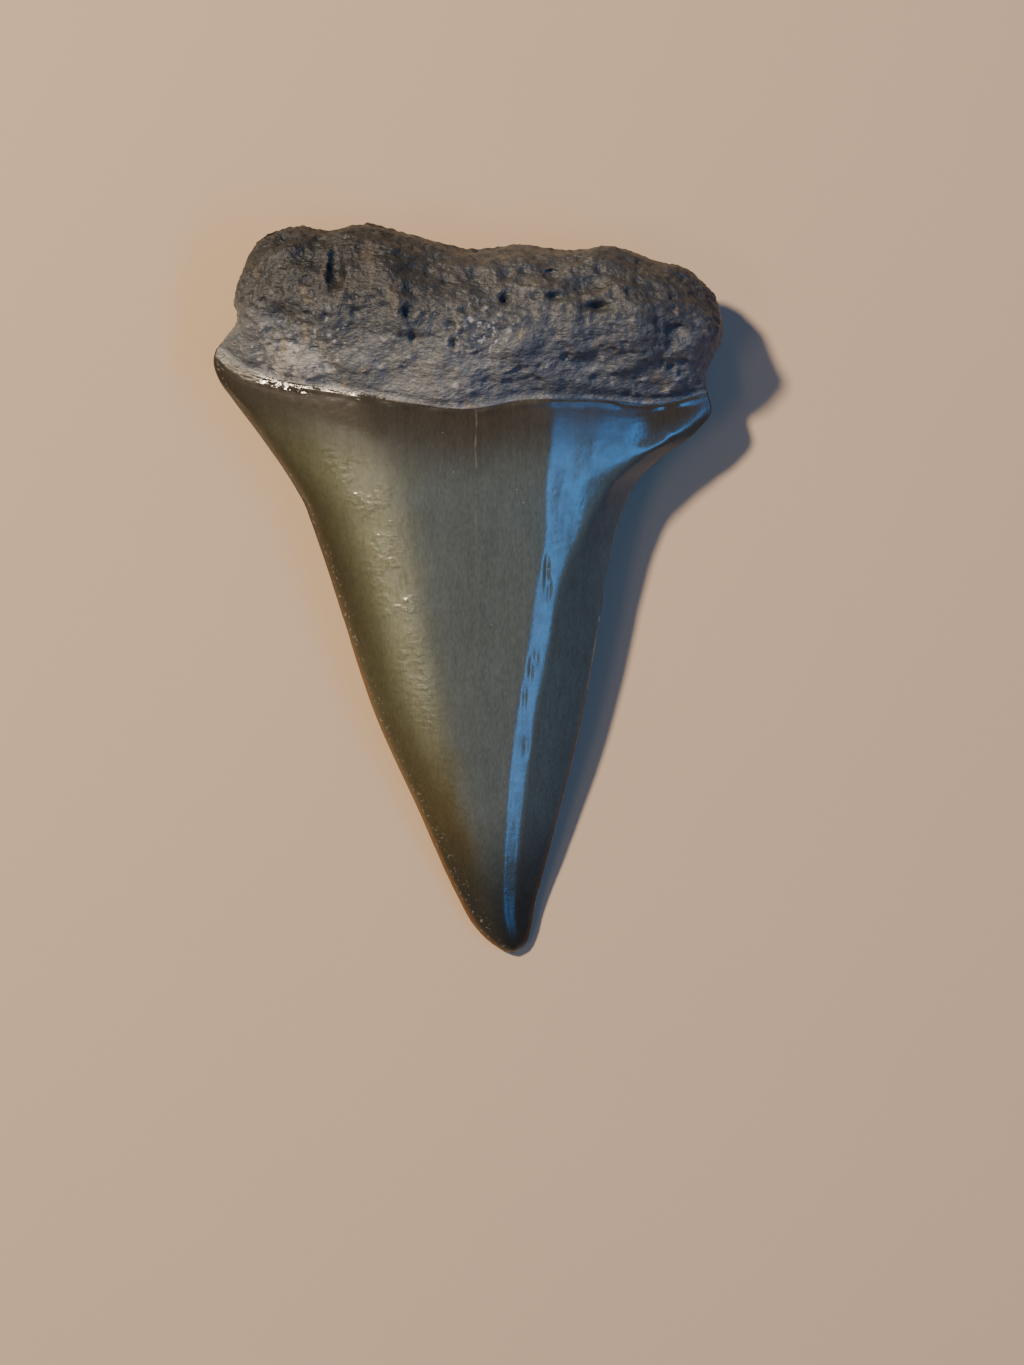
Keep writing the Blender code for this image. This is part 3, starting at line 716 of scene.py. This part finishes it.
# what a material can read at a point: its place in millimetres and the values that the mesh carries
class Surface:
    def __init__(self, tree):
        start = Wire(tree, None)
        self.place = start.node("ShaderNodeTexCoord", out=3).scaled(1.0 / mm)
        self.x = start.node("ShaderNodeSeparateXYZ", in0=self.place)
        self.y = Wire(tree, self.x.socket.node.outputs[1])
        for name in ("across", "along", "gap", "rooted", "facing", "hollow", "leftReach", "rightReach"):
            setattr(self, name, start.node("ShaderNodeAttribute", {"attribute_name": name}, out=2))

    def spot(self, x, y, halfWidth, halfLength):
        return self.x.hump(x, halfWidth) * self.y.hump(y, halfLength)


# the patterns and areas that colour, gloss and bumps share
def addPatterns(at, finish):
    place = at.place
    at.streak = place.stretched(1.0, 0.05, 1.0).noise(finish["streakSize"], detail=3.0)
    at.blotch = place.noise(finish["blotchSize"], detail=3.0, roughness=0.6)
    at.ripple = place.stretched(0.7, 1.2, 1.0).noise(finish["rippleSize"], detail=1.0, roughness=0.4)
    at.grain = place.stretched(0.5, 1.0, 1.0).noise(finish["grainSize"], detail=5.0, roughness=0.65)
    at.speck = (1.0 - place.cells(finish["speckSpacing"]).ramp(0.02, 0.06)) * place.noise(3.0).ramp(0.5, 0.6)
    # a lighter band of painted sheen between the painted shade of the left edge and the middle, with small
    # dents in its lower part
    bandShift = (1.0 - at.along.ramp(0.0, 0.16)) * 0.05
    band = (at.across - finish["bandPlace"] + bandShift).hump(0.0, finish["bandWidth"])
    at.band = band * at.gap.ramp(0.8, 3.2) * (1.0 - at.along.ramp(0.45, 0.75))
    at.dented = at.band * at.gap.ramp(4.0, 7.5) * place.noise(2.2).ramp(0.4, 0.58)
    # a pale broken crack from the root down the middle
    sway = place.stretched(0.0, 1.0, 0.0).noise(2.4, detail=4.0) - 0.5
    crack = (at.x - finish["crackPlace"] + sway * 0.5).hump(0.0, finish["crackWidth"])
    at.crack = crack * at.y.ramp(-6.0, 14.0) * place.noise(0.8).ramp(0.4, 0.65) * finish["crackShare"]
    # the enamel's left and right parts, and the left end of its lip
    at.leftSide = 1.0 - at.across.ramp(0.3, 0.48)
    at.rightSide = at.across.ramp(0.55, 0.7)
    at.leftLip = (1.0 - at.gap.ramp(0.5, 0.9)) * (1.0 - at.x.ramp(-13.5, -11.0))
    # the root's part next to the enamel, its two painted highlights and the pale crumbs, partly painted
    # glints, thickest in those
    at.lower = at.gap.ramp(-9.5, -1.5)
    # two painted highlights on the root, at the left and in the middle
    at.worn = at.spot(*finish["leftHighlightSpot"])
    at.wornMiddle = at.spot(*finish["wornMiddle"])
    # pale crumbs, partly real white bits and partly painted glints
    crumb = place.noise(finish["crumbSize"], detail=3.0).ramp(0.54, 0.7)
    at.crumb = crumb * (at.worn * 0.6 + at.wornMiddle + 0.08)


# olive on the left and slate on the right, partly painted warm light and painted shade, grey in the middle, a
# painted sheen band, painted shade by the left edge, dark at the tip, amber at thin edges
def enamelColour(at, finish):
    edge = at.across + (at.blotch - 0.5) * 0.22
    # olive to the left and slate to the right, partly the enamel's own colours and partly painted warm light
    # and painted shade
    body = edge.ramp(*finish["oliveToCentre"]).mix(finish["oliveAndWarmLight"], finish["centre"])
    body = edge.ramp(*finish["centreToSlate"]).mix(body, finish["slateAndShade"])
    lowLeft = at.along.ramp(0.45, 0.8) * (1.0 - edge.ramp(0.2, 0.5))
    body = (lowLeft * finish["lowBrownShare"]).mix(body, finish["lowBrown"])
    # painted sheen laid along the lighter band
    body = (at.band * (0.3 + at.gap.ramp(3.0, 10.0) * 0.35)).mix(body, finish["paintedSheen"])
    # painted shade along the left edge, strongest towards the root
    shadedLeftEdge = (1.0 - at.leftReach.ramp(0.6, 5.2)) * (0.96 - 0.5 * at.along.ramp(0.3, 0.6))
    body = shadedLeftEdge.mix(body, finish["edgeShade"])
    body = ((1.0 - at.gap.ramp(0.6, 8.0)) * finish["baseShare"]).mix(body, finish["base"])
    body = (at.along.ramp(0.7, 0.93) * finish["tipShare"]).mix(body, finish["tip"])
    thinLeft = (1.0 - at.leftReach.ramp(0.1, 0.8)) * at.along.ramp(0.2, 0.6)
    thinRight = (1.0 - at.rightReach.ramp(0.05, 0.5)) * at.along.ramp(0.3, 0.6) * 0.5
    body = (thinLeft.larger(thinRight) * finish["amberShare"]).mix(body, finish["amber"])
    brushed = at.place.stretched(1.0, 0.3, 1.0).noise(finish["brushSize"])
    body = body.toned(0.8 + 0.4 * at.streak + (at.blotch - 0.5) * 0.3 + (brushed - 0.5) * 0.7)
    body = (at.crack * at.facing.ramp(0.0, 0.5)).mix(body, finish["crack"])
    byTheEdge = at.leftReach.ramp(0.2, 0.5) * (1.0 - at.leftReach.ramp(0.9, 2.0))
    fleck = byTheEdge * at.place.noise(0.3).ramp(0.6, 0.68)
    return (at.speck * finish["speckShare"] + fleck * finish["fleckShare"]).mix(body, finish["speck"])


# dark in the hollows as painted shade, grey and beige on the ridges with painted light, with ochre and
# reddish streaks
def rootColour(at, finish):
    patch = at.place.noise(finish["patchSize"], detail=4.0, roughness=0.6)
    stain = at.place.stretched(1.6, 0.6, 1.0).noise(finish["stainSize"], detail=4.0)
    # painted light on the raised relief and painted shade in its hollows
    raised = at.grain * 0.7 + patch * 0.5 - at.hollow * 0.55 - 0.15
    bone = raised.ramp(0.2, 0.75).mix(finish["rootDark"], finish["rootGrey"])
    # dark along the top, paler towards the enamel and palest in the two painted highlights
    topLeft = (1.0 - at.across.ramp(0.15, 0.6)) * (1.0 - at.lower)
    tone = 0.66 + 0.97 * at.lower + 0.1 * at.worn - 0.6 * topLeft - 0.16 * at.across.ramp(0.6, 0.85)
    bone = bone.toned(tone, saturation=0.7)
    pale = patch * 0.6 + at.grain * 0.5 - at.hollow * 0.7 + (at.lower - 0.5) * 0.3
    pale = pale + at.worn * 0.3 + at.wornMiddle * 0.22
    bone = (pale.ramp(0.52, 0.82) * finish["paleShare"]).mix(bone, finish["rootPale"])
    # darker and cooler on its steep sides and at the top left
    sides = (1.0 - at.facing.ramp(0.2, 0.75)) * at.facing.ramp(-0.5, 0.0)
    cool = (topLeft * at.facing.ramp(-0.3, 0.1)).larger(sides)
    bone = (cool * finish["coolShare"]).mix(bone, finish["rootCool"])
    # paler on the root's middle next to the enamel
    paleNearEnamel = at.gap.ramp(-6.0, -1.5) * (1.0 - at.across.ramp(0.45, 0.75)) * at.across.ramp(0.2, 0.45)
    bone = (paleNearEnamel * finish["paleNearEnamelShare"]).mix(bone, finish["rootPale"])
    bone = (stain.ramp(0.58, 0.72) * (0.15 + 0.35 * at.lower)).mix(bone, finish["rootOchre"])
    reddish = (1.0 - stain.ramp(0.3, 0.42)) * finish["redShare"] * at.across.ramp(0.5, 0.9)
    bone = reddish.mix(bone, finish["rootRed"])
    return (at.crumb * finish["crumbShare"]).mix(bone, finish["crumb"])


# glossy enamel, duller in the light band between its dents and cloudy at the upper right, and a dull root
def toothRoughness(at, finish):
    smudge = at.place.noise(finish["smudgeSize"], detail=3.0)
    enamel = finish["enamelRoughness"] + (smudge - 0.5) * (0.1 + 0.2 * at.rightSide) - at.leftSide * 0.06
    cloudy = (1.0 - at.gap.ramp(0.8, 4.5)) * 0.16 * (1.0 - at.x.ramp(11.0, 14.5))
    cloudy = cloudy - at.x.ramp(12.5, 15.0) * 0.05
    cloudy = cloudy + (1.0 - at.rightReach.ramp(1.2, 2.2)) * at.x.ramp(9.0, 12.0) * 0.16
    lipEnd = at.leftLip * (1.0 - at.x.ramp(-17.5, -16.5))
    enamel = enamel + at.rightSide * cloudy + at.along.ramp(0.8, 0.95) * 0.1 + lipEnd * 0.32
    dull = (1.0 - at.across.ramp(0.3, 0.5)) * at.gap.ramp(1.0, 5.0)
    glint = at.dented * at.ripple.ramp(0.52, 0.6)
    enamel = enamel + dull * 0.24 - glint * 0.26
    root = finish["rootRoughness"] + (at.grain - 0.5) * 0.35 - at.crumb * 0.2
    return enamel + (root - enamel) * at.rooted


# the finest grain, finer than the mesh: ripples in the enamel, grain and threads in the root
def toothBumps(at, finish):
    rippled = 0.1 + at.leftSide * 0.05 + at.dented * 1.3 + at.leftLip * 1.1
    enamel = at.ripple * rippled + at.streak * 0.04 - at.speck * 0.1 - at.crack * 0.2
    fineGrain = at.place.stretched(0.6, 1.0, 1.0).noise(finish["fineGrainSize"], detail=3.0, roughness=0.6)
    threads = at.place.noise(finish["threadSize"], detail=3.0, roughness=0.6, kind="RIDGED_MULTIFRACTAL")
    height = (1.0 - at.rooted) * enamel + at.rooted * (fineGrain * 1.5 + threads * 0.45)
    depth = finish["bumpDistance"] * mm
    return height.node("ShaderNodeBump", Strength=finish["bumpStrength"], Distance=depth, Height=height)


# one material for the whole tooth, because root and enamel grade into each other
def toothMaterial(finish):
    material = bpy.data.materials.new("fossilTooth")
    material.use_nodes = True
    tree = material.node_tree
    shader = tree.nodes["Principled BSDF"]
    at = Surface(tree)
    addPatterns(at, finish)
    varied = {
        "Base Color": at.rooted.ramp(0.35, 0.65).mix(enamelColour(at, finish), rootColour(at, finish)),
        "Roughness": toothRoughness(at, finish),
        "Coat Weight": finish["coat"] * (1.0 - at.rooted) * (1.0 - at.leftLip),
        "Normal": toothBumps(at, finish),
    }
    for name, wire in varied.items():
        tree.links.new(wire.socket, shader.inputs[name])
    shader.inputs["Coat Roughness"].default_value = finish["coatRoughness"]
    shader.inputs["IOR"].default_value = finish["ior"]
    return material


def buildTooth():
    mesh = toothMesh(toothForm)
    raiseLumps(mesh, toothRelief, toothForm["edgeNicks"])
    print("tooth shaped:", len(mesh.vertices), "points")
    material = toothMaterial(toothFinish)
    result = meshFromTree(mesh, fineReliefTree(fineRelief, material), fineRelief)
    result.name = "tooth_surface_finished"
    pressPits(result, toothForm["rootPits"])
    # no point below where it lies, and centred over the same point as its solid
    places = readArray(result.vertices, "co", 3)
    low, high = places.min(axis=0), places.max(axis=0)
    solidLow, solidHigh = (np.array(corner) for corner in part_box("tooth"))
    places[:, :2] += ((solidLow + solidHigh) / 2 - (low + high) / 2)[:2]
    places[:, 2] = np.maximum(places[:, 2], 0)
    result.vertices.foreach_set("co", places.ravel())
    result.update()
    result.shade_smooth()
    piece = bpy.data.objects.new("fossil_tooth", result)
    bpy.context.scene.collection.objects.link(piece)
    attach(piece, "root")
    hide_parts("tooth")
    print("tooth finished:", sum(len(p.vertices) - 2 for p in result.polygons), "triangles")


# places in millimetres from the tooth, sizes in millimetres except the floor in metres
studio = {
    "floorSize": 3.0,
    "floorDrop": 0.05,
    "floorRoughness": 0.85,
    "floorMottle": 30.0,
    "floorShade": 0.94,
    "floorColour": (0.55, 0.42, 0.28),
    "skyColour": (0.95, 0.50, 0.38),
    "skyStrength": 0.12,
    "lampPlace": (-300, 210, 430),
    "lampSize": 60,
    "lampPower": 5.2,
    "lampColour": (1.0, 0.80, 0.60),
    "windowPlace": (290, -90, 400),
    "windowSize": (80, 440),
    "windowPower": 0.98,
    "windowColour": (0.03, 0.37, 1.0),
    "wallPlace": (-225, -130, 420),
    "wallSize": (60, 150),
    "wallPower": 0.17,
    "wallColour": (1.0, 0.93, 0.76),
}


def floorMaterial(values):
    material = bpy.data.materials.new("paleFloor")
    material.use_nodes = True
    tree = material.node_tree
    shader = tree.nodes["Principled BSDF"]
    pale = values["floorColour"]
    shaded = tuple(part * values["floorShade"] for part in pale)
    place = Wire(tree, None).node("ShaderNodeTexCoord", out=3).scaled(1.0 / mm)
    tone = (place.noise(values["floorMottle"], detail=3.0) * 0.5).mix(pale, shaded)
    tree.links.new(tone.socket, shader.inputs["Base Color"])
    shader.inputs["Roughness"].default_value = values["floorRoughness"]
    return material


def buildStudio(values):
    half = values["floorSize"] / 2
    level = -values["floorDrop"] * mm
    corners = [(-half, -half, level), (half, -half, level), (half, half, level), (-half, half, level)]
    mesh = bpy.data.meshes.new("floor")
    mesh.from_pydata(corners, [], [(0, 1, 2, 3)])
    mesh.materials.append(floorMaterial(values))
    floor = bpy.data.objects.new("floor", mesh)
    bpy.context.scene.collection.objects.link(floor)
    world = bpy.data.worlds.new("softRoom")
    world.use_nodes = True
    sky = world.node_tree.nodes["Background"]
    sky.inputs["Color"].default_value = (*values["skyColour"], 1.0)
    sky.inputs["Strength"].default_value = values["skyStrength"]
    bpy.context.scene.world = world
    for name in ("lamp", "window", "wall"):
        light = bpy.data.lights.new(name, "AREA")
        size = values[name + "Size"]
        if isinstance(size, tuple):
            light.shape = "RECTANGLE"
            light.size, light.size_y = size[0] * mm, size[1] * mm
        else:
            light.shape = "DISK"
            light.size = size * mm
        light.energy = values[name + "Power"]
        light.color = values[name + "Colour"]
        holder = bpy.data.objects.new(name, light)
        place = Vector(values[name + "Place"]) * mm
        holder.location = place
        holder.rotation_euler = place.to_track_quat("Z", "X").to_euler()
        bpy.context.scene.collection.objects.link(holder)


# in millimetres; coverLong is what the picture's longer side covers where the tooth lies
view = {
    "imageCentre": (3.58, -7.5),
    "distance": 260,
    "coverLong": 113.75,
    "sensor": 36,
    "nearest": 10,
}


def placeCamera(values):
    data = bpy.data.cameras.new("view")
    data.sensor_width = values["sensor"]
    data.lens = values["sensor"] * values["distance"] / values["coverLong"]
    data.clip_start = values["nearest"] * mm
    camera = bpy.data.objects.new("view", data)
    camera.location = [part * mm for part in (*values["imageCentre"], values["distance"])]
    bpy.context.scene.collection.objects.link(camera)
    bpy.context.scene.camera = camera


placeCamera(view)
print("camera placed")
buildTooth()
buildStudio(studio)
print("studio lit")
